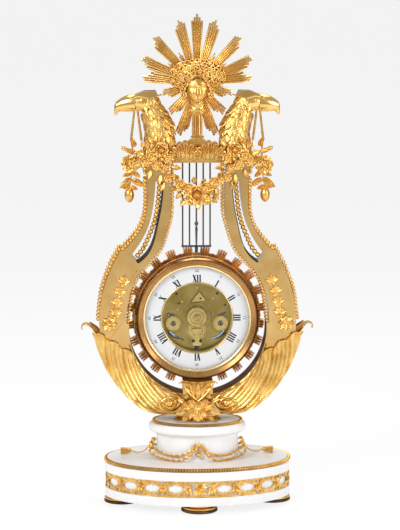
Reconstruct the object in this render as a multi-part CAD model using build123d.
from build123d import *
import os
from math import acos, atan2, cos, hypot, pi, radians, sin, sqrt, tan

# A gilt-bronze lyre clock on an oval white marble base. X runs across the clock, Y from front
# to back and Z up. The origin is on the table, under the middle of the base. Sizes are in mm.

# Clearances
running_fit = 0.05
seat_gap = 0.12
casting_gap = 0.3
free_gap = 0.5

# Marble base
foot_height = 10.0
foot_radius = 23.0
foot_overhang = 1.0
slab_half_width = 118.0
slab_half_depth = 79.0
slab_height = 48.0
frieze_low = 11.0
frieze_height = 21.0
frieze_recess = 3.0
frieze_metal = 2.2
frieze_rail = 2.0
frieze_units = 20
slab_band_height = 5.0
slab_band_thickness = 3.0

# Marble pedestal
drum_half_width = 52.0
drum_half_depth = 35.0
drum_height = 33.0
drum_flare = 4.0
torus_swell = 10.0
torus_height = 12.0
cap_swell = 5.4
cap_height = 3.0
cap_band_height = 3.7
cap_band_thickness = 2.8

# Tie rod that holds base, pedestal and lyre together
tie_rod_radius = 3.0
tie_nut_radius = 8.0
tie_nut_height = 6.0
tie_rod_bite = 12.0

# Chains on the pedestal
chain_radius = 1.3
chain_pin_radius = 1.0
chain_pin_length = 9.0
chain_pin_standout = 4.2
tassel_radius = 4.7
tassel_length = 13.5
tassel_reach = 84.0
tassel_back = 12.0

# Lyre
plinth_half_width = 34.7
plinth_half_depth = 18.0
plinth_height = 8.0
lyre_half_depth = 17.0
dial_height = 235.0
bowl_radius = 86.6
bowl_height = 226.0
arm_top = 447.0
arm_top_inner = 33.7
arm_top_outer = 64.5
panel_depth = 1.6
panel_rim = 4.5
outer_bead = 4.2
inner_bead = 3.3
slot_bead_radius = 3.5
slot_bead_pitch = 7.6
liner_thickness = 0.8
leaf_thickness = 4.0

# Crossbar, crest and eagles
bar_low = 434.0
bar_height = 7.0
bar_half_depth = 7.0
gallery_height = 8.0
gallery_thickness = 1.6
crest_height = 24.0
crest_half_width = 28.0
neck_half_width = 15.0
neck_half_depth = 13.5

# Sun
sun_height = 533.0
stalk_half_width = 6.5
ray_thickness = 3.6
sun_hub_radius = 24.0
ray_width = 15.6

# Dial, bezel and movement
dial_front = 5.0
dial_thickness = 2.0
dial_overlap = 9.5
dial_inner_radius = 44.5
sight_radius = 42.5
frame_setback = 1.5
frame_thickness = 3.5
bezel_radius = 77.5
bezel_width = 12.0
bezel_front = -4.0
glass_front = 0.5
glass_thickness = 1.4
hinge_pin_radius = 0.9
hinge_knuckle_radius = 2.0
hinge_forward = 1.5
movement_radius = 54.0
movement_wall = 2.0
plate_thickness = 2.5
front_plate_face = 13.0
plate_spacing = 25.5
pillar_radius = 3.0
pillar_circle = 44.0

# Wheels: teeth and modules
barrel_teeth = 78
barrel_module = 0.5
pinion_leaves = 12
intermediate_teeth = 66
intermediate_module = 0.35
centre_teeth = 72
centre_module = 0.33
third_teeth = 66
third_module = 0.3
escape_teeth = 30
escape_radius = 9.0
minute_teeth = 36
minute_module = 0.7
hour_teeth = 48
hour_module = 0.56
ratchet_teeth = 24
ratchet_radius = 10.0
wheel_thickness = 1.5
winding_across = 30.0
winding_drop = 8.0
arbor_radius = 1.2
winding_arbor_radius = 2.6
barrel_radius = 17.0
barrel_length = 14.0

# Pendulum
pivot_height = 450.0
pendulum_plane = 24.0
pivot_pin_radius = 1.5
grid_rod_radius = 1.0
grid_rod_spacing = 8.7
grid_top_drop = 7.0
grid_bar_height = 2.2
grid_bar_depth = 3.0
grid_overhang = 1.6
pointer_length = 26.0
ring_thickness = 6.0
ring_inner_radius = 68.0
ring_band_radius = 81.5
ring_tooth_rise = 6.0
ring_teeth = 24
ring_tooth_angle = 8.0
crutch_pin_radius = 1.5
crutch_pin_drop = 75.0

# Bell and hammer
bell_radius = 34.0
bell_depth = 16.0
bell_wall = 1.2
bell_gap = 8.0

base_top = foot_height + slab_height
drum_top = base_top + drum_height
torus_top = drum_top + torus_height
pedestal_top = torus_top + cap_height
plinth_top = pedestal_top + plinth_height
arm_foot = plinth_top
bar_top = bar_low + bar_height
frame_front = dial_front + dial_thickness
frame_radius = bezel_radius - frame_setback
bezel_lip_radius = bezel_radius - bezel_width
dial_outer_radius = bezel_radius - dial_overlap
ring_tip_radius = ring_band_radius + ring_tooth_rise
frame_back = frame_front + frame_thickness
front_plate_back = front_plate_face + plate_thickness
back_plate_face = front_plate_back + plate_spacing
back_plate_back = back_plate_face + plate_thickness


def plate(outline, front, back):
    """Solid between y = front and y = back, from an outline drawn in X and Z."""
    return extrude(Plane.XZ.offset(-back) * outline, back - front)


def oval(half_width, half_depth, low, high):
    """Standing oval block between two heights."""
    return extrude(Plane.XY.offset(low) * Ellipse(half_width, half_depth), high - low)


def oval_ring(half_width, half_depth, thickness, low, high):
    """Standing oval hoop, measured at its outside."""
    hole = Ellipse(half_width - thickness, half_depth - thickness)
    return extrude(Plane.XY.offset(low) * (Ellipse(half_width, half_depth) - hole), high - low)


def rod(start, end, radius):
    """Straight round rod between two points."""
    axis = Vector(end) - Vector(start)
    plane = Plane(origin=start, z_dir=axis)
    return extrude(plane * Circle(radius), axis.length)


def disc(x, z, radius, front, back):
    """Round plate whose axis runs front to back."""
    return plate(Pos(x, z) * Circle(radius), front, back)


def ball(x, y, z, radius):
    return Pos(x, y, z) * Sphere(radius)


def egg(x, y, z, half_x, half_y, half_z):
    """Egg with three half lengths."""
    return Pos(x, y, z) * scale(Sphere(1.0), by=(half_x, half_y, half_z))


def leaf_face(length, width):
    """Pointed leaf from the origin along +X."""
    side = ThreePointArc((0, 0), (length * 0.45, width / 2), (length, 0))
    other = ThreePointArc((length, 0), (length * 0.45, -width / 2), (0, 0))
    return make_face([side, other])


def leaf(x, z, angle, length, width, front, back):
    """Leaf that starts at x, z and points along an angle from +X towards +Z."""
    return plate(Pos(x, z) * Rot(0, 0, angle) * leaf_face(length, width), front, back)


def rosette(x, z, radius, petals, front, back):
    """Open flower with a raised round eye."""
    outline = Pos(x, z) * Circle(radius * 0.5)
    for i in range(petals):
        outline += Pos(x, z) * Rot(0, 0, 360 * i / petals) * Pos(radius * 0.62, 0) * Ellipse(
            radius * 0.38, radius * 1.5 / petals)
    eye = disc(x, z, radius * 0.3, front - radius * 0.15, front)
    return plate(outline, front, back) + eye


def shift(points, distance):
    """Points of a downward run moved sideways, outwards from the lyre when positive."""
    moved = []
    for i, (x, z) in enumerate(points):
        x0, z0 = points[max(i - 1, 0)]
        x1, z1 = points[min(i + 1, len(points) - 1)]
        run = hypot(x1 - x0, z1 - z0)
        moved.append((x - distance * (z1 - z0) / run, z + distance * (x1 - x0) / run))
    return moved


def strip_face(points, near, far):
    """Band beside a smooth run, between two sideways distances."""
    a = Spline(shift(points, near))
    b = Spline(shift(points, far))
    return make_face([a, Line(a @ 1, b @ 1), b, Line(b @ 0, a @ 0)])


def mirrored(shape):
    return mirror(shape, about=Plane.YZ)


def both_sides(shape):
    return [shape, mirrored(shape)]


def joined(pieces):
    """One solid, or one group, from pieces that touch or overlap."""
    first, rest = pieces[0], pieces[1:]
    return first.fuse(*rest) if rest else first


def save(name, *shapes):
    solids = [solid for shape in shapes for solid in shape.solids()]
    export_step(solids[0] if len(solids) == 1 else Compound(children=solids), f"parts/{name}.step")


os.makedirs("parts", exist_ok=True)

# Bun feet, the side pair standing a little past the slab
foot_across = slab_half_width + foot_overhang - foot_radius
foot_along = slab_half_depth + foot_overhang - foot_radius
feet = []
for x, y in ((foot_across, 0), (-foot_across, 0), (0, foot_along), (0, -foot_along)):
    bun = Pos(x, y, foot_height / 2) * Cylinder(foot_radius, foot_height)
    feet.append(fillet(bun.edges(), foot_height * 0.4))
save("feet", *feet)

# Oval slab, recessed round its side for the frieze and stepped at its top edge for the rope band
frieze_z = foot_height + frieze_low
slab = oval(slab_half_width, slab_half_depth, foot_height, base_top)
slab -= oval_ring(slab_half_width + 1, slab_half_depth + 1, frieze_recess + 1, frieze_z,
                  frieze_z + frieze_height)
slab -= oval_ring(slab_half_width + 1, slab_half_depth + 1, slab_band_thickness + 1,
                  base_top - slab_band_height, base_top + 1)
tie_hole = tie_rod_radius + free_gap
nut_room = tie_nut_height + 4.0
slab -= rod((0, 0, foot_height - 1), (0, 0, base_top + 1), tie_hole)
slab -= rod((0, 0, foot_height - 1), (0, 0, foot_height + nut_room), tie_nut_radius + 4.0)
save("base_slab", slab)


def on_oval(turn, half_width, half_depth, height):
    """Plane that touches an oval wall, with its local z pointing outwards."""
    spot = (half_width * cos(turn), half_depth * sin(turn), height)
    outward = (half_depth * cos(turn), half_width * sin(turn), 0)
    return Plane(origin=spot, x_dir=(-outward[1], outward[0], 0), z_dir=outward)


# Pierced frieze: two rails, a row of linked ovals and a sunflower at the front and the back
frieze_mid = frieze_z + frieze_height / 2
frieze_wall_x = slab_half_width - frieze_recess + seat_gap
frieze_wall_y = slab_half_depth - frieze_recess + seat_gap
frieze = []
for low in (frieze_z + seat_gap, frieze_z + frieze_height - frieze_rail - seat_gap):
    frieze.append(oval_ring(frieze_wall_x + frieze_metal, frieze_wall_y + frieze_metal, frieze_metal,
                            low, low + frieze_rail))
link_half_height = frieze_height / 2 - frieze_rail - 2 * seat_gap
for i in range(frieze_units):
    turn = pi / 2 + 2 * pi * i / frieze_units
    spot = on_oval(turn, frieze_wall_x, frieze_wall_y, frieze_mid)
    if i % (frieze_units // 2) == 0:
        flower = Circle(link_half_height * 0.6)
        for petal in range(12):
            flower += Rot(0, 0, 30 * petal) * Pos(link_half_height * 0.6, 0) * Ellipse(
                link_half_height * 0.4, link_half_height * 0.13)
        frieze.append(extrude(spot * flower, frieze_metal + 1.2))
    else:
        link = Ellipse(link_half_height * 1.4, link_half_height) - Ellipse(
            link_half_height * 1.4 - frieze_rail, link_half_height - frieze_rail)
        frieze.append(extrude(spot * link, frieze_metal * 0.6))
save("base_frieze", *frieze)

# Rope bands round the slab and round the pedestal's top
slab_band = oval_ring(slab_half_width, slab_half_depth, slab_band_thickness - seat_gap,
                      base_top - slab_band_height + seat_gap, base_top)
cap_half_width = drum_half_width + cap_swell
cap_half_depth = drum_half_depth + cap_swell
cap_band = oval_ring(cap_half_width, cap_half_depth, cap_band_thickness - seat_gap,
                     torus_top, torus_top + cap_band_height)
save("rope_bands", slab_band, cap_band)

# Pedestal: flared foot, plain drum, round torus and flat cap
flare = loft([Plane.XY.offset(base_top) * Ellipse(drum_half_width + drum_flare, drum_half_depth + drum_flare),
              Plane.XY.offset(base_top + drum_flare) * Ellipse(drum_half_width, drum_half_depth)])
torus = oval(drum_half_width + torus_swell, drum_half_depth + torus_swell, drum_top, torus_top)
torus = fillet(torus.edges().group_by(Axis.Z)[0] + torus.edges().group_by(Axis.Z)[-1], torus_height * 0.42)
pedestal = oval(drum_half_width, drum_half_depth, base_top, drum_top) + flare + torus
pedestal += oval(cap_half_width - cap_band_thickness, cap_half_depth - cap_band_thickness,
                 torus_top, pedestal_top)
pedestal -= rod((0, 0, base_top - 1), (0, 0, pedestal_top + 1), tie_hole)
side_pin_height = drum_top - 11.0
front_pin_height = base_top + 22.0
pin_spots = [((drum_half_width, 0, side_pin_height), (1, 0, 0)),
             ((-drum_half_width, 0, side_pin_height), (-1, 0, 0)),
             ((0, -drum_half_depth, front_pin_height), (0, -1, 0)),
             ((0, drum_half_depth, front_pin_height), (0, 1, 0))]
pins = []
for spot, way in pin_spots:
    head = Vector(*spot) + Vector(*way) * chain_pin_standout
    root = head - Vector(*way) * chain_pin_length
    pins.append(rod(root, head, chain_pin_radius) + Pos(head) * Sphere(chain_pin_radius * 2))
    pedestal -= rod(root, head, chain_pin_radius + running_fit)
save("pedestal", pedestal)


def corner_radii(points):
    """Largest arc that each corner of a route has room for."""
    radii = []
    for before, here, after in zip(points, points[1:], points[2:]):
        inward = Vector(here) - Vector(before)
        outward = Vector(after) - Vector(here)
        turn = radians(inward.get_angle(outward))
        radii.append(0.45 * min(inward.length, outward.length) / tan(turn / 2))
    return radii


def chain_along(points, radius):
    """Chain laid along a route of straight runs joined by arcs."""
    path = FilletPolyline(*points, radius=corner_radii(points))
    start = Plane(origin=path @ 0, z_dir=path % 0)
    return sweep(start * Circle(radius), path=path)


# Four pins, and two chain swags in each quarter from the front and back pins to the side pins
head = chain_pin_standout
beyond = drum_half_width + head
ahead = drum_half_depth + head
lie = base_top + chain_radius + casting_gap
low_swag = [(2.6, -ahead, front_pin_height - 2.4), (9, -ahead - 2.5, base_top + 11),
            (20, -ahead - 2.5, base_top + 3), (33, -ahead + 3, lie), (47, -ahead + 12, base_top + 2.5),
            (61, -ahead + 24, base_top + 8), (beyond + 1, -3.2, side_pin_height - 3.4)]
high_swag = [(3.2, -ahead + 0.8, front_pin_height + 0.6), (14, -ahead - 0.4, base_top + 11),
             (31, -ahead + 5.5, base_top + 7), (46, -ahead + 16, base_top + 8.5),
             (57.5, -ahead + 29, base_top + 14), (beyond - 1.2, -3.6, side_pin_height)]
swags = []
for route in (low_swag, high_swag):
    for side in (1, -1):
        for end in (1, -1):
            swags.append(chain_along([(side * x, end * y, z) for x, y, z in route], chain_radius))
tassel_chain = [(tassel_reach - 1.2, tassel_back, base_top + tassel_radius + seat_gap),
                (tassel_reach - 8, tassel_back - 1, base_top + 2.6), (66, 9, base_top + 5.5),
                (59.5, 5.2, base_top + 16), (beyond + 1.4, 2.8, side_pin_height - 2.4)]
for side in (1, -1):
    swags.append(chain_along([(side * x, y, z) for x, y, z in tassel_chain], chain_radius * 0.5))
drop_low = front_pin_height - 14
drop = rod((0, -ahead - 1.2, drop_low + 4), (0, -ahead, front_pin_height - 2.2), chain_radius * 0.6)
drop += ball(0, -ahead - 1.2, drop_low + 1.6, 3.0)
swags += [drop, mirror(drop, about=Plane.XZ)]
save("pedestal_chain", *(pins + swags))

# Tassels that end the side chains, lying on the slab
tassel_profile = Polyline((0, 0), (tassel_length, 0), (tassel_length, tassel_radius * 0.93),
                          (tassel_length * 0.3, tassel_radius), (tassel_length * 0.22, tassel_radius * 0.7),
                          (0, tassel_radius * 0.45), close=True)
tassel = revolve(make_face(tassel_profile), Axis.X)
tassel = Pos(tassel_reach, tassel_back, base_top + tassel_radius + seat_gap) * tassel
save("chain_tassels", *both_sides(tassel))

# Tie rod and its nut, up through the marble into the lyre's foot
rod_top = plinth_top + tie_rod_bite
rod_low = foot_height + nut_room - tie_nut_height - 3
save("tie_rod", rod((0, 0, rod_low), (0, 0, rod_top), tie_rod_radius))
nut_low = foot_height + nut_room - tie_nut_height
nut = extrude(Plane.XY.offset(nut_low) * RegularPolygon(tie_nut_radius, 6), tie_nut_height)
save("tie_nut", nut - rod((0, 0, rod_low), (0, 0, rod_top), tie_rod_radius + running_fit))

# Leafy mound under the lyre
mound = loft([Plane.XY.offset(pedestal_top + plinth_height / 2) * Ellipse(plinth_half_width, plinth_half_depth),
              Plane.XY.offset(plinth_top) * Ellipse(plinth_half_width * 0.8, plinth_half_depth * 0.9)])
mound += oval(plinth_half_width, plinth_half_depth, pedestal_top, pedestal_top + plinth_height / 2)
save("lyre_plinth", mound - rod((0, 0, pedestal_top - 1), (0, 0, rod_top), tie_hole))

# Right lyre arm: its outer edge flares in and then swells round the bowl, its inner edge follows
outer_flare = [(arm_top_outer, arm_top), (63.4, 381), (68.8, 356.4), (79.1, 339.7), (93.0, 324.5)]
outer_bowl = [(97.0, 325.0), (108.7, 302.3), (119.1, 272.5), (124.1, 235.0), (121.0, 205.0), (109.5, 173.0),
              (90.0, 144.5), (60.0, 123.0), (30.0, arm_foot)]
inner_flare = [(arm_top_inner, arm_top), (arm_top_inner, 381), (35.0, 366), (38.9, 351.4), (46.3, 329),
               (57.0, 314.5), (71.6, 298.6), (83.6, 274.6), (89.9, 232)]
slot_outer = [(52.7, 411.5), (55.6, 382), (62.9, 352.7), (78.9, 324.9), (84.0, 318)]
slot_inner = [(42.6, 411.5), (45.5, 378), (50.6, 352.7), (58.9, 325.5), (75.0, 308.4)]


def bowl_point(x, radius):
    """Point on the lower half of the lyre's round opening."""
    return (x, bowl_height - sqrt(radius ** 2 - x ** 2))


def arm_face(grow):
    """Outline of the right arm, grown outwards by a gap."""
    flare = Spline(shift(outer_flare, grow))
    bowl = Spline(shift(outer_bowl, grow))
    inner = Spline(inner_flare)
    ledge = (sqrt(bowl_radius ** 2 - (inner_flare[-1][1] - bowl_height) ** 2), inner_flare[-1][1])
    arc = ThreePointArc(ledge, bowl_point(bowl_radius * 0.7, bowl_radius), (0, bowl_height - bowl_radius))
    return make_face([flare, Line(flare @ 1, bowl @ 0), bowl, Line(bowl @ 1, (0, arm_foot - grow)),
                      Line((0, arm_foot - grow), arc @ 1), arc, Line(arc @ 0, inner @ 1), inner,
                      Line(inner @ 0, flare @ 0)])


slot_a = Spline(slot_outer)
slot_b = Spline(slot_inner)
slot_face = make_face([slot_a, Line(slot_a @ 1, slot_b @ 1), slot_b, Line(slot_b @ 0, slot_a @ 0)])
panel_a = Spline(shift(outer_bowl, -panel_rim)[1:5])
panel_b = Spline(shift(inner_flare, panel_rim)[6:])
panel_face = make_face([panel_a, Line(panel_a @ 1, panel_b @ 1), panel_b, Line(panel_b @ 0, panel_a @ 0)])
arm = plate(arm_face(0), -lyre_half_depth, lyre_half_depth)
arm -= plate(slot_face, -lyre_half_depth - 1, lyre_half_depth + 1)
for front, back in ((-lyre_half_depth - 1, -lyre_half_depth + panel_depth),
                    (lyre_half_depth - panel_depth, lyre_half_depth + 1)):
    arm -= plate(panel_face, front, back)
arm -= rod((0, 0, pedestal_top), (0, 0, rod_top + 1), tie_rod_radius + running_fit)
save("lyre_arm_right", arm)
save("lyre_arm_left", mirrored(arm))

# Beaded mouldings along the edges of both arms, front and back
mouldings = []
above_leaf = Pos(100, outer_bowl[3][1] + 100) * Rectangle(200, 200)
for edge, near, far in ((outer_flare, casting_gap, outer_bead), (outer_bowl, casting_gap, outer_bead),
                        (inner_flare, -inner_bead, -casting_gap)):
    band = strip_face(edge, near, far) & above_leaf
    width = far - near
    for front in (-lyre_half_depth, lyre_half_depth - width):
        mouldings += both_sides(plate(band, front, front + width))
save("bead_mouldings", *mouldings)

# Strings of beads down the slots, on wires, and dark liners on the slots' inner walls
bead_line = Spline([((a[0] + b[0]) / 2, (a[1] + b[1]) / 2) for a, b in zip(slot_outer, slot_inner)])
bead_count = int((bead_line.length - 4) / slot_bead_pitch)
bead_spots = [bead_line.position_at((2 + slot_bead_radius + i * slot_bead_pitch) / bead_line.length)
              for i in range(bead_count)]
bead_plane = -lyre_half_depth + slot_bead_radius + 1.5
chain_spots = [(spot.X, bead_plane, spot.Y) for spot in bead_spots]
string = [ball(*spot, slot_bead_radius) for spot in chain_spots]
string += [rod(a, b, 0.7) for a, b in zip(chain_spots, chain_spots[1:])]
wire_top = (chain_spots[0][0], bead_plane, slot_outer[0][1] - seat_gap)
string.append(rod(chain_spots[0], wire_top, 0.7))
string = joined(string)
save("slot_bead_strings", *both_sides(string))
liner = plate(strip_face(slot_inner, casting_gap, casting_gap + liner_thickness) & slot_face,
              -lyre_half_depth + 1, lyre_half_depth - 1)
save("slot_liners", *both_sides(liner))

# Acanthus leaf that wraps the lower arm, from the scroll at its foot to its curled tip
leaf_tip = (146.0, 229.0)
leaf_start = (outer_bowl[3][0] + outer_bead + 0.6, 231.0)
leaf_edge = [(131.5, 220), (126.5, 202), (113.0, 170), (91.0, 140.5), (66.0, 121), (44.0, plinth_top + 0.4)]
scroll_inner = (15.5, 128.0)
rim_gap = 0.8
inner_start = bowl_point(80.5, bowl_radius + rim_gap)
inner_end = bowl_point(24.0, bowl_radius + rim_gap)
crown = Spline([inner_start, (98, 209), (110, 217), leaf_start])
curl_top = ThreePointArc(leaf_start, (138, 233.5), leaf_tip)
curl_under = ThreePointArc(leaf_tip, (138, 227.5), leaf_edge[0])
outside = Spline(leaf_edge)
foot_line = Line(leaf_edge[-1], (23.0, plinth_top + 0.4))
scroll_side = ThreePointArc((23.0, plinth_top + 0.4), scroll_inner, inner_end)
inside = ThreePointArc(inner_end, bowl_point(62, bowl_radius + rim_gap), inner_start)
wrap = make_face([crown, curl_top, curl_under, outside, foot_line, scroll_side, inside])
leaf_front = -lyre_half_depth - seat_gap - leaf_thickness
leaf_back = lyre_half_depth + seat_gap + leaf_thickness * 0.6
wrap_leaf = plate(wrap, leaf_front, leaf_back)
wrap_leaf -= plate(arm_face(seat_gap), -lyre_half_depth - seat_gap, lyre_half_depth + seat_gap)
scroll = plate(Pos(35.5, 130) * (Ellipse(17, 12.5) - Ellipse(11, 7.5)), leaf_front - 2, leaf_front)
eye = plate(Pos(35.5, 130) * Ellipse(6, 4.5), leaf_front - 2.5, leaf_front)
wrap_leaf = joined([wrap_leaf, scroll, eye])
save("acanthus_right", wrap_leaf)
save("acanthus_left", mirrored(wrap_leaf))

# Leaf sprays on the panels of the lower arms, and a rosette above each acanthus leaf
panel_floor = -lyre_half_depth + panel_depth - seat_gap
sprays = []
for x, z, angle in ((93.5, 281, 98), (98, 267.5, 92), (101.5, 254, 94), (103.5, 240.5, 88)):
    stem = leaf(x, z, angle, 13, 5, panel_floor - 2.2, panel_floor)
    twigs = [leaf(x, z + 4, angle + turn, 8.5, 4, panel_floor - 1.8, panel_floor) for turn in (-55, 55)]
    sprays += both_sides(joined([stem] + twigs))
flower = rosette(111.5, 231.5, 8.0, 8, -lyre_half_depth - 3.2, -lyre_half_depth - seat_gap)
sprays += both_sides(flower)
save("arm_appliques", *sprays)

# Bouquet over the joint of the arms
bouquet_back = leaf_front - 2.7
heart = plate(Pos(0, 124) * Ellipse(10, 8.5), bouquet_back, -lyre_half_depth - seat_gap)
bouquet = [heart]
for i in range(7):
    turn = -90 + (i - 3) * 26
    bouquet.append(leaf(0, 128, turn, 20.5 + abs(i - 3), 9, bouquet_back - 3, bouquet_back))
roses = ((-13.5, 126.5, 5.6), (13.5, 126.5, 5.6), (-6.4, 117.2, 6), (6.4, 117.2, 6), (0, 127.5, 6.6))
for x, z, radius in roses:
    bouquet.append(rosette(x, z, radius, 5, bouquet_back - 4 - radius * 0.3, bouquet_back - 0.5))
save("bottom_bouquet", joined(bouquet))

# Bracket that stands in the bowl of the lyre and carries the dial's frame
bowl_seat = bowl_radius - seat_gap
cradle = frame_radius + seat_gap
saddle = bezel_radius + 1.2
half = 19.0
rest_low = bowl_point(half, bowl_seat)
base_arc = ThreePointArc((-half, rest_low[1]), (0, bowl_height - bowl_seat), rest_low)
top_z = dial_height - sqrt(saddle ** 2 - half ** 2)
top_arc = ThreePointArc((half, top_z), (0, dial_height - saddle), (-half, top_z))
bracket_face = make_face([base_arc, Line(rest_low, (half, top_z)), top_arc,
                          Line((-half, top_z), (-half, rest_low[1]))])
bracket = plate(bracket_face, -lyre_half_depth - casting_gap, lyre_half_depth - 1)
pad = plate(bracket_face + Pos(0, dial_height - saddle + 2) * Rectangle(2 * half, 9), frame_front, frame_back)
bracket += pad - disc(0, dial_height, cradle, frame_front - 1, frame_back + 1)
calyx_top = top_z - 0.5
calyx_low = bowl_height - bowl_radius - 6.0
calyx_mid = (calyx_top + calyx_low) / 2
calyx_side = ThreePointArc((-half - 3, calyx_top), (-half * 0.47, calyx_mid), (0, calyx_low))
calyx = make_face([calyx_side, ThreePointArc((0, calyx_low), (half * 0.47, calyx_mid), (half + 3, calyx_top)),
                   ThreePointArc((half + 3, calyx_top), (0, calyx_mid + 8), (-half - 3, calyx_top))])
bracket += plate(calyx, -lyre_half_depth - casting_gap - 4, -lyre_half_depth - casting_gap)
save("dial_bracket", bracket)

# Crossbar between the arms, with a pierced gallery and an acanthus crest on it
bar_half_width = arm_top_inner - seat_gap
bar = plate(Pos(0, bar_low + bar_height / 2) * Rectangle(2 * bar_half_width, bar_height),
            -bar_half_depth, bar_half_depth)
gallery = Pos(0, bar_top + gallery_height / 2) * Rectangle(2 * crest_half_width, gallery_height)
for i in range(-4, 5):
    gallery -= Pos(i * crest_half_width / 4.6, bar_top + gallery_height / 2) * Circle(gallery_height * 0.28)
bar += plate(gallery, -bar_half_depth, -bar_half_depth + gallery_thickness)
save("top_bar", bar)
crest_outline = Pos(0, bar_top + crest_height * 0.3)
crest_outline *= Rectangle(2 * crest_half_width * 0.9, crest_height * 0.6)
for i in range(-3, 4):
    lobe_height = crest_height * (0.5 - 0.035 * abs(i))
    lobe = Ellipse(crest_half_width * 0.2, lobe_height)
    lobe = Pos(i * crest_half_width / 3.8, bar_top + lobe_height) * lobe
    crest_outline += lobe
crest_outline &= Pos(0, bar_top + crest_height / 2) * Rectangle(2 * crest_half_width, crest_height)
crest_front = -bar_half_depth + gallery_thickness + seat_gap
crest_back = bar_half_depth - 1
crest = plate(crest_outline, crest_front, crest_back)
stalk_top = sun_height - 35.0
stalk_face = Pos(0, (bar_top + stalk_top) / 2) * Rectangle(2 * stalk_half_width, stalk_top - bar_top)
socket = Pos(0, (bar_top + stalk_top) / 2) * Rectangle(2 * (stalk_half_width + seat_gap), stalk_top - bar_top)
socket_front = crest_front + 2.0
save("top_crest", crest - plate(socket, socket_front, crest_back + 1))

# Eagle heads on the arm tops, looking outwards, with the ribbons held in their beaks cut out
ribbons = []
for x, low_x in ((78.6, 83.0), (74.6, 69.8)):
    ribbon = make_face(Polyline((x - 1.4, 500), (x + 1.4, 500), (low_x + 1.7, 461), (low_x - 1.7, 461),
                                close=True))
    ribbons.append(plate(ribbon, -1.2, 1.2))


def neck_section(x, z, tilt, half_width, half_depth):
    """Oval section through a bird's neck, leaning outwards by a tilt in degrees."""
    lean = radians(tilt)
    return Plane(origin=(x, 0, z), x_dir=(cos(lean), 0, -sin(lean)), z_dir=(sin(lean), 0, cos(lean))) * Ellipse(
        half_width, half_depth)


neck_mid = (arm_top_inner + arm_top_outer) / 2
neck = loft([neck_section(neck_mid, arm_top, 0, neck_half_width, neck_half_depth),
             neck_section(46.5, 468, -4, neck_half_width + 2.6, neck_half_depth + 1),
             neck_section(52.0, 488, 12, neck_half_width + 1.4, neck_half_depth),
             neck_section(59.0, 503, 35, neck_half_width - 1, neck_half_depth - 1.5)])
head = egg(65, 0, 510, 19, 12, 12.5)
brow = [plate(make_face(Polyline((49, 518), (52, 524.5), (66, 524), (86, 516), (70, 514), close=True)),
              front, front + 6) for front in (-10, 4)]
beak = loft([Plane.YZ.offset(78) * Pos(0, 508.6) * Ellipse(9, 11.2),
             Plane.YZ.offset(92) * Pos(0, 507.2) * Ellipse(6.6, 9.6),
             Plane.YZ.offset(100.5) * Pos(0, 504.8) * Ellipse(3.8, 6.4)])
hook = loft([Plane.XY.offset(506) * Pos(98.6, 0) * Ellipse(5.2, 3.4),
             Plane.XY.offset(493.5) * Pos(102.2, 0) * Ellipse(1.2, 0.9)])
eagle = joined([neck, head, beak, hook] + brow)
for ribbon in ribbons:
    eagle -= ribbon
save("eagle_head_right", eagle)
save("eagle_head_left", mirrored(eagle))

# Garland under each beak, with the roses and leaves that cover the arm's top
hang_front, hang_back = -2.4, 2.4
hanging = ribbons + [rosette(89.0, 434.5, 10.5, 6, -5, 4), leaf(84, 462, 200, 12, 6, hang_front, hang_back)]
stem = make_face(Polyline((82, 462), (85, 462), (87.4, 398), (85, 398), close=True))
hanging.append(plate(stem, hang_front + 1, hang_back - 1))
for x, z, turn, length, width in ((83, 460, 20, 13, 6), (86, 447, 138, 24, 9), (84, 452, 190, 14, 8),
                                  (86, 424, 205, 17, 10), (85, 420.5, -25, 14.5, 8), (86, 412, -150, 13, 9)):
    hanging.append(leaf(x, z, turn, length, width, hang_front, hang_back))
hanging.append(egg(86, 0, 393, 6.2, 6.2, 9.5))
shoulder_back = -lyre_half_depth - casting_gap
shoulder_front = shoulder_back - 4.0
shoulder = [rosette(50, 452, 9, 6, shoulder_front - 1, shoulder_back), ball(58, shoulder_back - 6, 438, 5.6),
            rosette(43, 436, 8, 6, shoulder_front, shoulder_back)]
for x, z, turn, length, width in ((50, 450, 60, 24, 13), (55, 447, 20, 20, 12), (48, 446, 125, 20, 12),
                                  (56, 440, -30, 20, 12), (50, 438, -80, 18, 12), (44, 434, -110, 15, 9),
                                  (58, 446, -62, 24, 11), (46, 440, 180, 14, 9)):
    shoulder.append(leaf(x, z, turn, length, width, shoulder_front, shoulder_back))
hanging = joined(hanging)
shoulder = joined(shoulder)
save("garland_right", hanging, shoulder)
save("garland_left", mirrored(hanging), mirrored(shoulder))

# Swag of roses across the strings, tied to both arms
swag_back = -lyre_half_depth - casting_gap
swag_front = swag_back - 4.5
swag = []
for side in (1, -1):
    vine = ThreePointArc((side * 42, 416), (side * 25, 408), (0, 399))
    lower = ThreePointArc((0, 395.5), (side * 25, 404.5), (side * 42, 412.5))
    swag.append(plate(make_face([vine, Line(vine @ 1, lower @ 0), lower, Line(lower @ 1, vine @ 0)]),
                      swag_front + 1, swag_back))
for x, z, radius in ((-17, 404, 9.5), (-4, 402, 9.5), (-13, 391, 9), (1, 389, 9), (18.5, 410, 8.2)):
    swag.append(rosette(x, z, radius, 6, swag_front - radius * 0.25, swag_back - 0.5))
for x, z, turn, length, width in ((-18, 396, 215, 17, 10), (-6, 384, 250, 12, 9), (20, 404, -70, 19, 11),
                                  (8, 398, 15, 15, 7), (-24, 405, 160, 15, 8), (28, 408, 20, 16, 8),
                                  (32, 411, 8, 13, 8), (-32, 411, 172, 13, 8), (-22, 402, 120, 13, 8)):
    swag.append(leaf(x, z, turn, length, width, swag_front, swag_back - 0.4))
save("string_swag", joined(swag))

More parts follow.
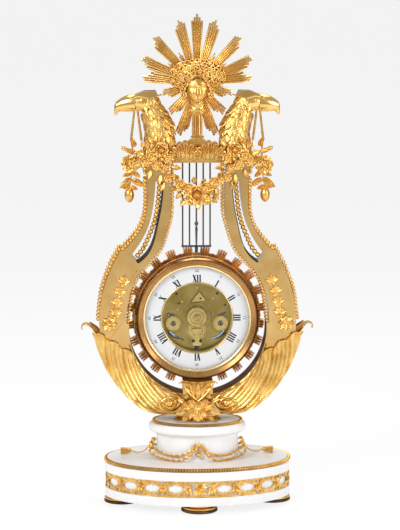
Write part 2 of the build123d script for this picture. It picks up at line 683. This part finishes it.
# Sun: fluted stalk, plate of stepped rays and a mask with curling hair before it
ray_front = 0.0
ray_back = ray_front + ray_thickness
stalk = plate(stalk_face, socket_front + seat_gap, crest_back - 1)
tongue_face = Rectangle(2 * stalk_half_width - 4, sun_height - stalk_top + 8)
tongue_face = Pos(0, (stalk_top + sun_height) / 2) * tongue_face
stalk += plate(tongue_face, ray_back, crest_back - 1)
ray_turns = ((0, 87), (17, 82), (44.5, 79), (67, 76), (82.5, 69), (108.5, 45), (140, 50), (162, 69))
rays = Pos(0, sun_height) * Circle(sun_hub_radius)
for turn, reach in ray_turns:
    for side in (1, -1):
        place = Pos(0, sun_height) * Rot(0, 0, 90 - side * turn)
        for step, share in ((0, 1.0), (1, 0.92), (-1, 0.9)):
            length = reach * share
            lane = Pos(length / 2, step * ray_width * 0.28) * Rectangle(length, ray_width * 0.36)
            rays += place * lane
rays -= Pos(0, stalk_top - 25) * Rectangle(2 * stalk_half_width + 2, 50)
save("sun_stalk", stalk)
save("sun_rays", plate(rays, ray_front, ray_back))
mask_front = -7.0
face = egg(0, mask_front + 3, sun_height - 5, 13.5, 12, 18.5)
neck_stub = loft([Plane.XY.offset(sun_height - 34) * Pos(0, -5) * Ellipse(8, 5),
                  Plane.XY.offset(sun_height - 14) * Pos(0, -5) * Ellipse(9, 6)])
curls = []
for turn, reach, radius in ((0, 23, 8), (26, 24, 8.5), (50, 24, 9), (76, 22, 9), (104, 21, 8), (45, 32, 6.5),
                            (64, 33, 7.5), (84, 31, 7), (102, 29, 6.5)):
    for side in ((1,) if turn == 0 else (1, -1)):
        a = radians(turn)
        curls.append(ball(side * reach * sin(a) * 1.05, mask_front + 2, sun_height - 2 + reach * cos(a) * 0.95,
                          radius))
mask = joined([face, neck_stub] + curls)
behind = plate(Pos(0, sun_height) * Rectangle(200, 200), ray_front - seat_gap, 60)
save("sun_mask", mask - behind)

# Suspension cock behind the crossbar, with the pin that the pendulum hangs on
cock_front = bar_half_depth + seat_gap
cock_back = cock_front + 3.0
pin_end = pendulum_plane + 7.0
cock_height = pivot_height + 6 - bar_low
cock = plate(Pos(0, bar_low + cock_height / 2) * Rectangle(18, cock_height), cock_front, cock_back)
cock += disc(0, pivot_height, pivot_pin_radius, cock_front, pin_end)
cock += disc(0, pivot_height, pivot_pin_radius * 2, pin_end - 1.5, pin_end)
cock += disc(0, pivot_height, pivot_pin_radius * 2, cock_back, pendulum_plane - 3.4)
save("suspension_cock", cock)

# Gridiron pendulum: suspension eye, two crossbars, five steel rods, a pointer and the rayed ring
ring_front = pendulum_plane - ring_thickness / 2
ring_back = pendulum_plane + ring_thickness / 2
grid_half_width = 2 * grid_rod_spacing + grid_overhang
upper_bar_top = pivot_height - grid_top_drop
lower_bar_low = dial_height + ring_tip_radius + 0.7
lower_bar_top = lower_bar_low + grid_bar_height
grid_front = pendulum_plane - grid_bar_depth / 2
grid_back = pendulum_plane + grid_bar_depth / 2
eye_block = disc(0, pivot_height, 5.0, grid_front - 1, grid_back + 1)
eye_block += plate(Pos(0, upper_bar_top + 2) * Rectangle(5, 5), grid_front, grid_back)
crossbar = Rectangle(2 * grid_half_width, grid_bar_height)
upper_bar = plate(Pos(0, upper_bar_top - grid_bar_height / 2) * crossbar, grid_front, grid_back)
lower_bar = plate(Pos(0, (lower_bar_low + lower_bar_top) / 2) * crossbar, grid_front, grid_back)
strap_foot = dial_height + ring_band_radius
strap = plate(Pos(0, (strap_foot + lower_bar_low) / 2) * Rectangle(4, lower_bar_low - strap_foot),
              grid_front, grid_back)
eye_bore = disc(0, pivot_height, pivot_pin_radius + running_fit, grid_front - 2, grid_back + 2)
save("gridiron_bars", eye_block + upper_bar - eye_bore, lower_bar + strap)
rod_low = lower_bar_top
rod_high = upper_bar_top - grid_bar_height
save("gridiron_rods", *[rod((i * grid_rod_spacing, pendulum_plane, rod_low),
                            (i * grid_rod_spacing, pendulum_plane, rod_high), grid_rod_radius)
                        for i in range(-2, 3)])
pointer_front = pendulum_plane - grid_rod_radius - seat_gap - 1.0
pointer_tip = rod_low + pointer_length
blade = make_face(Polyline((-1.6, lower_bar_low), (1.6, lower_bar_low), (0.6, pointer_tip), (-0.6, pointer_tip),
                           close=True))
pointer = plate(blade, pointer_front - 0.6, grid_front - seat_gap)
knob = disc(0, pointer_tip + 1.5, 2.2, pointer_front - 0.6, pointer_front + 0.4)
save("pendulum_pointer", pointer + knob)
ring = Circle(ring_band_radius)
tooth_half = ring_tip_radius * sin(radians(ring_tooth_angle / 2))
for i in range(ring_teeth):
    turn = (i + 0.5) * 360 / ring_teeth
    for step, share in ((-1, 0.6), (0, 1.0), (1, 0.8)):
        reach = ring_band_radius + (ring_tip_radius - ring_band_radius) * share
        lane = Pos(reach / 2 + ring_inner_radius / 2, step * tooth_half * 0.66) * Rectangle(
            reach - ring_inner_radius, tooth_half * 0.68)
        ring += Rot(0, 0, turn) * lane
ring -= Circle(ring_inner_radius)
ring = plate(Pos(0, dial_height) * ring, ring_front, ring_back)
crutch_plane = back_plate_back + 3.0
pin_height = dial_height - crutch_pin_drop
ring += disc(0, pin_height, crutch_pin_radius, ring_back, crutch_plane + 3.0)
save("ray_ring", ring)

# Movement case: a flange that holds the dial, a drum behind it and a shoulder for the front plate
drum = disc(0, dial_height, frame_radius, frame_front, frame_back)
drum += disc(0, dial_height, dial_inner_radius - running_fit, dial_front - 0.6, frame_back)
drum += disc(0, dial_height, movement_radius, frame_back, back_plate_back)
drum -= disc(0, dial_height, sight_radius, dial_front - 2, frame_back + 1)
drum -= disc(0, dial_height, movement_radius - movement_wall, frame_back, back_plate_back + 1)
shoulder_ring = Circle(movement_radius - movement_wall) - Circle(movement_radius - movement_wall - 1.6)
drum += plate(Pos(0, dial_height) * shoulder_ring, front_plate_back + seat_gap, front_plate_back + 1.5)
hinge_x = -(bezel_radius + hinge_knuckle_radius + 0.3)
knuckle_half = 5.0
knuckle_end = 12.0
lug = Pos(hinge_x + 2.5, dial_height) * Rectangle(8, 2 * knuckle_end)
drum += plate(lug, frame_front, frame_back)
for side in (1, -1):
    knuckle_mid = dial_height + side * (knuckle_half + knuckle_end + 0.3) / 2
    knuckle_length = knuckle_end - knuckle_half - 0.3
    web = Pos(hinge_x - 0.4, knuckle_mid) * Rectangle(2.0, knuckle_length)
    web = plate(web, hinge_forward, frame_front + 1)
    barrel_of_hinge = Cylinder(hinge_knuckle_radius, knuckle_length)
    barrel_of_hinge = Pos(hinge_x, hinge_forward, knuckle_mid) * barrel_of_hinge
    drum += web + barrel_of_hinge
pin_low = (hinge_x, hinge_forward, dial_height - knuckle_end - 1)
pin_high = (hinge_x, hinge_forward, dial_height + knuckle_end + 1)
drum -= rod(pin_low, pin_high, hinge_pin_radius + running_fit)
save("movement_drum", drum)
save("bezel_hinge_pin", rod(pin_low, pin_high, hinge_pin_radius))
dial = plate(Pos(0, dial_height) * (Circle(dial_outer_radius - running_fit) - Circle(dial_inner_radius)),
             dial_front, frame_front)
save("dial_ring", dial)

# Bezel with its glass, hinged at the left
bezel_back = frame_front - 0.6
glass_back = glass_front + glass_thickness
glass_radius = bezel_lip_radius + 2.0
profile = Polyline((bezel_radius, bezel_back), (bezel_radius, bezel_front + 3),
                   (bezel_radius - 1.5, bezel_front + 0.8), (bezel_radius - 3, bezel_front), (bezel_radius - 7.5, bezel_front + 3.2),
                   (bezel_lip_radius, glass_front - 0.1), (glass_radius + running_fit, glass_front - 0.1),
                   (glass_radius + running_fit, dial_front - 0.6), (dial_outer_radius + 0.6, dial_front),
                   (dial_outer_radius + 0.6, bezel_back), close=True)
axis_plane = Plane.XY.offset(dial_height)
bezel = revolve(axis_plane * make_face(profile), Axis((0, 0, dial_height), (0, 1, 0)))
bezel += Pos(hinge_x, hinge_forward, dial_height) * Cylinder(hinge_knuckle_radius, 2 * knuckle_half)
hinge_web = Pos(hinge_x + 2.2, dial_height) * Rectangle(4.4, 2 * knuckle_half)
bezel += plate(hinge_web, hinge_forward - 1, hinge_forward + 1)
bezel -= rod(pin_low, pin_high, hinge_pin_radius + running_fit)
save("bezel", bezel)
save("bezel_glass", disc(0, dial_height, glass_radius, glass_front, glass_back))


def involute(pressure):
    return tan(pressure) - pressure


def wheel_face(teeth, module, phase):
    """Gear outline with one tooth centred at the phase angle, its flanks radial below the pitch line."""
    pitch = teeth * module / 2
    base = pitch * cos(radians(20))
    flank = []
    for radius in (pitch - 1.2 * module, pitch, pitch + 0.8 * module):
        narrowing = max(0.0, involute(acos(min(1.0, base / radius))) - involute(radians(20)))
        flank.append((radius, pi / 2 / teeth * 0.82 - narrowing))
    points = []
    for i in range(teeth):
        middle = phase + 2 * pi * i / teeth
        for radius, half_angle in flank:
            points.append((radius * cos(middle - half_angle), radius * sin(middle - half_angle)))
        for radius, half_angle in reversed(flank):
            points.append((radius * cos(middle + half_angle), radius * sin(middle + half_angle)))
    return make_face(Polyline(*points, close=True))


def wheel(spot, teeth, module, phase, front, back):
    return plate(Pos(spot[0], dial_height + spot[1]) * wheel_face(teeth, module, phase), front, back)


def mesh_phase(spot, teeth, phase, other, other_teeth):
    """Phase of a wheel whose gap faces the first wheel's tooth."""
    way = atan2(other[1] - spot[1], other[0] - spot[0])
    return way + pi - (pi - (way - phase) * teeth) / other_teeth


def centre_between(spot, reach, other, other_reach, side):
    """Place at given distances from two others, on the left or the right of the way between them."""
    dx, dz = other[0] - spot[0], other[1] - spot[1]
    apart = hypot(dx, dz)
    along = (reach ** 2 - other_reach ** 2 + apart ** 2) / (2 * apart)
    off = side * sqrt(reach ** 2 - along ** 2)
    return (spot[0] + (along * dx - off * dz) / apart, spot[1] + (along * dz + off * dx) / apart)


def arbor(spot, front, back, radius):
    return disc(spot[0], dial_height + spot[1], radius, front, back)


def bored(shape, spot, radius):
    return shape - disc(spot[0], dial_height + spot[1], radius, -20, 80)


# Places of the arbors, measured from the middle of the dial
centre_spot = (0.0, 0.0)
going_spot = (winding_across, -winding_drop)
strike_spot = (-winding_across, -winding_drop)
minute_reach = (pinion_leaves + minute_teeth) * minute_module / 2
minute_spot = (0.0, -minute_reach)
escape_spot = (0.0, 22.0)
pallet_spot = (0.0, escape_spot[1] + escape_radius * 1.5)
intermediate_reach = (pinion_leaves + intermediate_teeth) * intermediate_module / 2
going_reach = (pinion_leaves + barrel_teeth) * barrel_module / 2
intermediate_spot = centre_between(centre_spot, intermediate_reach, going_spot, going_reach, -1)
third_spot = centre_between(centre_spot, (pinion_leaves + centre_teeth) * centre_module / 2,
                            escape_spot, (pinion_leaves + third_teeth) * third_module / 2, 1)

# Depths of the wheels between the plates and in front of them
pivot_radius = 1.0
barrel_front = front_plate_back + 5.0
barrel_back = barrel_front + barrel_length
great_wheel_back = barrel_back + wheel_thickness
low_layer = front_plate_back + 1.7
third_layer = barrel_front + 7.5
escape_layer = barrel_front + 12.5
high_layer = great_wheel_back + 1.4
plate_radius = movement_radius - movement_wall - seat_gap
bell_post_spot = (16.0, -5.0)
hammer_spot = (-30.0, 27.0)

front_plate = disc(0, dial_height, plate_radius, front_plate_face, front_plate_back)
back_plate = disc(0, dial_height, plate_radius, back_plate_face, back_plate_back)
pivot_hole = pivot_radius + running_fit
for spot in (third_spot, intermediate_spot, escape_spot, minute_spot):
    front_plate = bored(front_plate, spot, pivot_hole)
for spot in (third_spot, intermediate_spot, escape_spot, centre_spot, hammer_spot):
    back_plate = bored(back_plate, spot, pivot_hole)
front_plate = bored(front_plate, centre_spot, arbor_radius + running_fit)
for spot in (going_spot, strike_spot):
    front_plate = bored(front_plate, spot, winding_arbor_radius + running_fit)
    back_plate = bored(back_plate, spot, winding_arbor_radius + running_fit)
front_plate = bored(front_plate, pallet_spot, pivot_hole)
back_plate = bored(back_plate, pallet_spot, arbor_radius + running_fit)
back_plate = bored(back_plate, bell_post_spot, 2.5)
for turn in (60, 120, 240, 300):
    spot = (pillar_circle * cos(radians(turn)), pillar_circle * sin(radians(turn)))
    back_plate += arbor(spot, front_plate_back, back_plate_face, pillar_radius)
save("front_plate", front_plate)
save("back_plate", back_plate)


def barrel(spot, phase):
    body = arbor(spot, barrel_front, barrel_back, barrel_radius)
    body += wheel(spot, barrel_teeth, barrel_module, phase, barrel_back, great_wheel_back)
    hollow = arbor(spot, barrel_front + 1, barrel_back - 1, barrel_radius - 1)
    hub = arbor(spot, barrel_front + 1, barrel_back - 1, winding_arbor_radius + 1.5)
    return bored(body - (hollow - hub), spot, winding_arbor_radius + running_fit)


def ratchet_face(mirror_way):
    points = []
    for i in range(ratchet_teeth):
        start = radians(360 / ratchet_teeth * i + 105)
        for radius, ahead_by in ((ratchet_radius * 0.87, 0.0), (ratchet_radius, radians(1.5))):
            points.append((mirror_way * radius * cos(start + ahead_by), radius * sin(start + ahead_by)))
    return make_face(Polyline(*points, close=True))


ratchet_front = front_plate_face - 2.6
ratchet_back = front_plate_face - 0.6
square_front = dial_front - 0.8
for name, spot, way in (("right", going_spot, 1), ("left", strike_spot, -1)):
    place = Pos(spot[0], dial_height + spot[1])
    shaft = arbor(spot, ratchet_front - 2, back_plate_back - 0.3, winding_arbor_radius)
    shaft += plate(place * ratchet_face(way), ratchet_front, ratchet_back)
    shaft += plate(place * Rectangle(3.4, 3.4), square_front, ratchet_front)
    save("winding_arbor_" + name, shaft)
    click_root = (ratchet_radius + 3.2)
    boss = (spot[0] + way * click_root * cos(radians(62)), spot[1] + click_root * sin(radians(62)))
    nose = [(ratchet_radius * 0.92, 103.2), (ratchet_radius * 1.03, 90), (ratchet_radius * 1.12, 70),
            (ratchet_radius * 1.45, 66), (ratchet_radius * 1.12, 98)]
    corners = [(spot[0] + way * r * cos(radians(t)), dial_height + spot[1] + r * sin(radians(t)))
               for r, t in nose]
    click = plate(make_face(Polyline(*corners, close=True)), ratchet_front, ratchet_back)
    click += arbor(boss, ratchet_front - 0.4, ratchet_back, 2.0)
    click = bored(click, boss, 0.8 + running_fit)
    save("click_" + name, click)

# Going train, from the escape wheel down to the barrel
escape_phase = 0.0
third_phase = mesh_phase(escape_spot, pinion_leaves, escape_phase, third_spot, third_teeth)
centre_phase = mesh_phase(third_spot, pinion_leaves, third_phase, centre_spot, centre_teeth)
intermediate_phase = mesh_phase(centre_spot, pinion_leaves, centre_phase,
                                intermediate_spot, intermediate_teeth)
going_phase = mesh_phase(intermediate_spot, pinion_leaves, intermediate_phase, going_spot, barrel_teeth)
save("going_barrel", barrel(going_spot, going_phase))
save("strike_barrel", barrel(strike_spot, 0.0))
back_pivot = back_plate_back - 0.3
front_pivot = front_plate_face + 0.3
intermediate = arbor(intermediate_spot, front_pivot, back_pivot, pivot_radius)
intermediate += wheel(intermediate_spot, intermediate_teeth, intermediate_module, intermediate_phase,
                      low_layer, low_layer + wheel_thickness)
intermediate += wheel(intermediate_spot, pinion_leaves, barrel_module, intermediate_phase,
                      barrel_back - 0.3, great_wheel_back + 0.3)
save("intermediate_wheel", intermediate)
centre = arbor(centre_spot, glass_back + 0.7, back_plate_face, arbor_radius)
centre += arbor(centre_spot, back_plate_face, back_pivot, pivot_radius)
centre += wheel(centre_spot, pinion_leaves, intermediate_module, centre_phase,
                low_layer - 0.2, low_layer + 1.9)
centre += wheel(centre_spot, centre_teeth, centre_module, centre_phase,
                high_layer, high_layer + wheel_thickness)
save("centre_wheel", centre)
third = arbor(third_spot, front_pivot, back_pivot, pivot_radius)
third += wheel(third_spot, pinion_leaves, centre_module, third_phase, high_layer - 0.3, high_layer + 1.8)
third += wheel(third_spot, third_teeth, third_module, third_phase, third_layer, third_layer + wheel_thickness)
save("third_wheel", third)
escape = arbor(escape_spot, front_pivot, back_pivot, pivot_radius)
escape += wheel(escape_spot, pinion_leaves, third_module, escape_phase, third_layer - 0.3, third_layer + 1.9)
points = []
for i in range(escape_teeth):
    start = 2 * pi * i / escape_teeth
    for radius, ahead_by in ((escape_radius * 0.86, 0.0), (escape_radius, 0.1), (escape_radius * 0.86, 0.12)):
        points.append((radius * cos(start + ahead_by), radius * sin(start + ahead_by)))
escape += plate(Pos(escape_spot[0], dial_height + escape_spot[1]) * make_face(Polyline(*points, close=True)),
                escape_layer, escape_layer + 1.2)
save("escape_wheel", escape)

# Pallets, their arbor and the crutch that reaches down behind the movement to the ring's pin
pallet_height = dial_height + pallet_spot[1]
anchor_points = [(0, 2.5), (4.5, 1), (8.6, -3.6), (7.4, -6.2), (6.6, -5.6), (6.8, -3.6), (3.5, -1.4),
                 (0, -0.6)]
anchor_outline = [(x, pallet_height + z) for x, z in anchor_points]
anchor_outline += [(-x, z) for x, z in reversed(anchor_outline[1:-1])]
crutch = plate(make_face(Polyline(*anchor_outline, close=True)), escape_layer, escape_layer + 1.2)
crutch += disc(0, pallet_height, 2.6, escape_layer, escape_layer + 1.2)
crutch += arbor(pallet_spot, front_pivot, escape_layer, pivot_radius)
crutch += arbor(pallet_spot, escape_layer, crutch_plane + 1.5, arbor_radius)
crutch += disc(0, pallet_height, 3.4, crutch_plane - 0.8, crutch_plane + 0.8)
fork_top = pin_height + 8
crutch += plate(Pos(0, (pallet_height + fork_top) / 2) * Rectangle(2.6, pallet_height - fork_top),
                crutch_plane - 0.8, crutch_plane + 0.8)
fork = Pos(0, pin_height + 1.5) * Rectangle(8, 14) - Pos(0, pin_height - 1) * Rectangle(
    2 * (crutch_pin_radius + 0.25), 11)
crutch += plate(fork, crutch_plane - 0.8, crutch_plane + 0.8)
save("pallets_and_crutch", crutch)

# Motion work in front of the front plate
minute_wheel_front = front_plate_face - 2.0
hour_wheel_front = front_plate_face - 4.5
cannon_phase = 0.0
minute_phase = mesh_phase(centre_spot, pinion_leaves, cannon_phase, minute_spot, minute_teeth)
hour_phase = mesh_phase(minute_spot, pinion_leaves, minute_phase, centre_spot, hour_teeth)
cannon = arbor(centre_spot, glass_back + 1.1, front_plate_face - 0.4, 2.2)
cannon += wheel(centre_spot, pinion_leaves, minute_module, cannon_phase,
                minute_wheel_front - 0.2, front_plate_face - 0.4)
save("cannon_pinion", bored(cannon, centre_spot, arbor_radius + running_fit))
minute = arbor(minute_spot, hour_wheel_front - 1.6, front_plate_back - 0.5, pivot_radius)
minute += wheel(minute_spot, minute_teeth, minute_module, minute_phase,
                minute_wheel_front, minute_wheel_front + 1.3)
minute += wheel(minute_spot, pinion_leaves, hour_module, minute_phase,
                hour_wheel_front - 0.1, minute_wheel_front)
save("minute_wheel", minute)
hour = arbor(centre_spot, glass_back + 1.8, hour_wheel_front + 1.5, 3.2)
hour += wheel(centre_spot, hour_teeth, hour_module, hour_phase, hour_wheel_front, hour_wheel_front + 1.5)
save("hour_wheel", bored(hour, centre_spot, 2.2 + running_fit))

# Cocks, screws and click springs on the front plate
cock_layer = front_plate_face - 3.0
upper_cock = make_face(Polyline((-8, dial_height + 19), (12, dial_height + 21), (3, dial_height + 33),
                                close=True))
cocks = [plate(upper_cock, cock_layer, front_plate_face)]
cross_front = hour_wheel_front - 1.6
tee = Pos(0, dial_height - 17) * Rectangle(11, 5) + Pos(0, dial_height - 27) * Rectangle(5.5, 18)
tee = bored(plate(tee, cross_front, cross_front + 1.3), minute_spot, pivot_hole)
tee += plate(Pos(0, dial_height - 34) * Rectangle(11, 4.4), cross_front, front_plate_face)
cocks.append(tee)
for x, z, radius in ((0, 38, 1.8), (-19, 20, 1.5), (0, -39.2, 1.6), (21, 24, 1.4), (-24, 10, 1.3)):
    cocks.append(disc(x, dial_height + z, radius, front_plate_face - 1.2, front_plate_face))
for spot, way in ((going_spot, 1), (strike_spot, -1)):
    x = spot[0] + way * click_root * cos(radians(62))
    cocks.append(disc(x, dial_height + spot[1] + click_root * sin(radians(62)), 0.8,
                      ratchet_front - 0.4, front_plate_face))
spring_arc = ThreePointArc((20, dial_height - 27), (28, dial_height - 23.5), (35, dial_height - 17.5))
spring = make_face([spring_arc, Line(spring_arc @ 1, (32.5, dial_height - 20.5)),
                    ThreePointArc((32.5, dial_height - 20.5), (27, dial_height - 26.5), (20, dial_height - 29.5)),
                    Line((20, dial_height - 29.5), spring_arc @ 0)])
save("front_cocks", *(cocks + both_sides(plate(spring, front_plate_face - 1.6, front_plate_face))))

# Bell on its post, and the hammer that strikes it
bell_front = crutch_plane + bell_gap - 2
bell_sphere = (bell_radius ** 2 + bell_depth ** 2) / (2 * bell_depth)
bell_x, bell_z = bell_post_spot[0], dial_height + bell_post_spot[1]
bell_back = bell_front + bell_depth
bell_middle = (bell_x, bell_back - bell_sphere, bell_z)
bell = ball(*bell_middle, bell_sphere) - ball(*bell_middle, bell_sphere - bell_wall)
bell &= disc(bell_x, bell_z, bell_radius + 2, bell_front, bell_back + 1)
post = arbor(bell_post_spot, back_plate_face + 0.3, bell_back + 2, 2.5)
bell -= arbor(bell_post_spot, back_plate_face, bell_back + 3, 2.5 + running_fit)
post += disc(bell_x, bell_z, 4, bell_back + 0.2, bell_back + 2.5)
post += disc(bell_x, bell_z, 5, bell_back - 4, bell_back - bell_wall - 0.6)
save("bell", bell)
save("bell_post", post)
hammer_front = crutch_plane + 2.4
hammer_pivot = (hammer_spot[0], dial_height + hammer_spot[1])
hammer = arbor(hammer_spot, back_plate_face + 0.3, hammer_front + 1.6, pivot_radius)
head_spot = (bell_x - bell_radius - 4.6, bell_z)
hammer += disc(*hammer_pivot, 3.0, hammer_front, hammer_front + 1.6)
shank = make_face(Polyline((hammer_pivot[0] - 1.3, hammer_pivot[1]), (hammer_pivot[0] + 1.3, hammer_pivot[1]),
                           (head_spot[0] + 1.3, head_spot[1]), (head_spot[0] - 1.3, head_spot[1]), close=True))
hammer += plate(shank, hammer_front, hammer_front + 1.6)
hammer += disc(*head_spot, 3.2, hammer_front, bell_front + 3.5)
save("hammer", hammer)
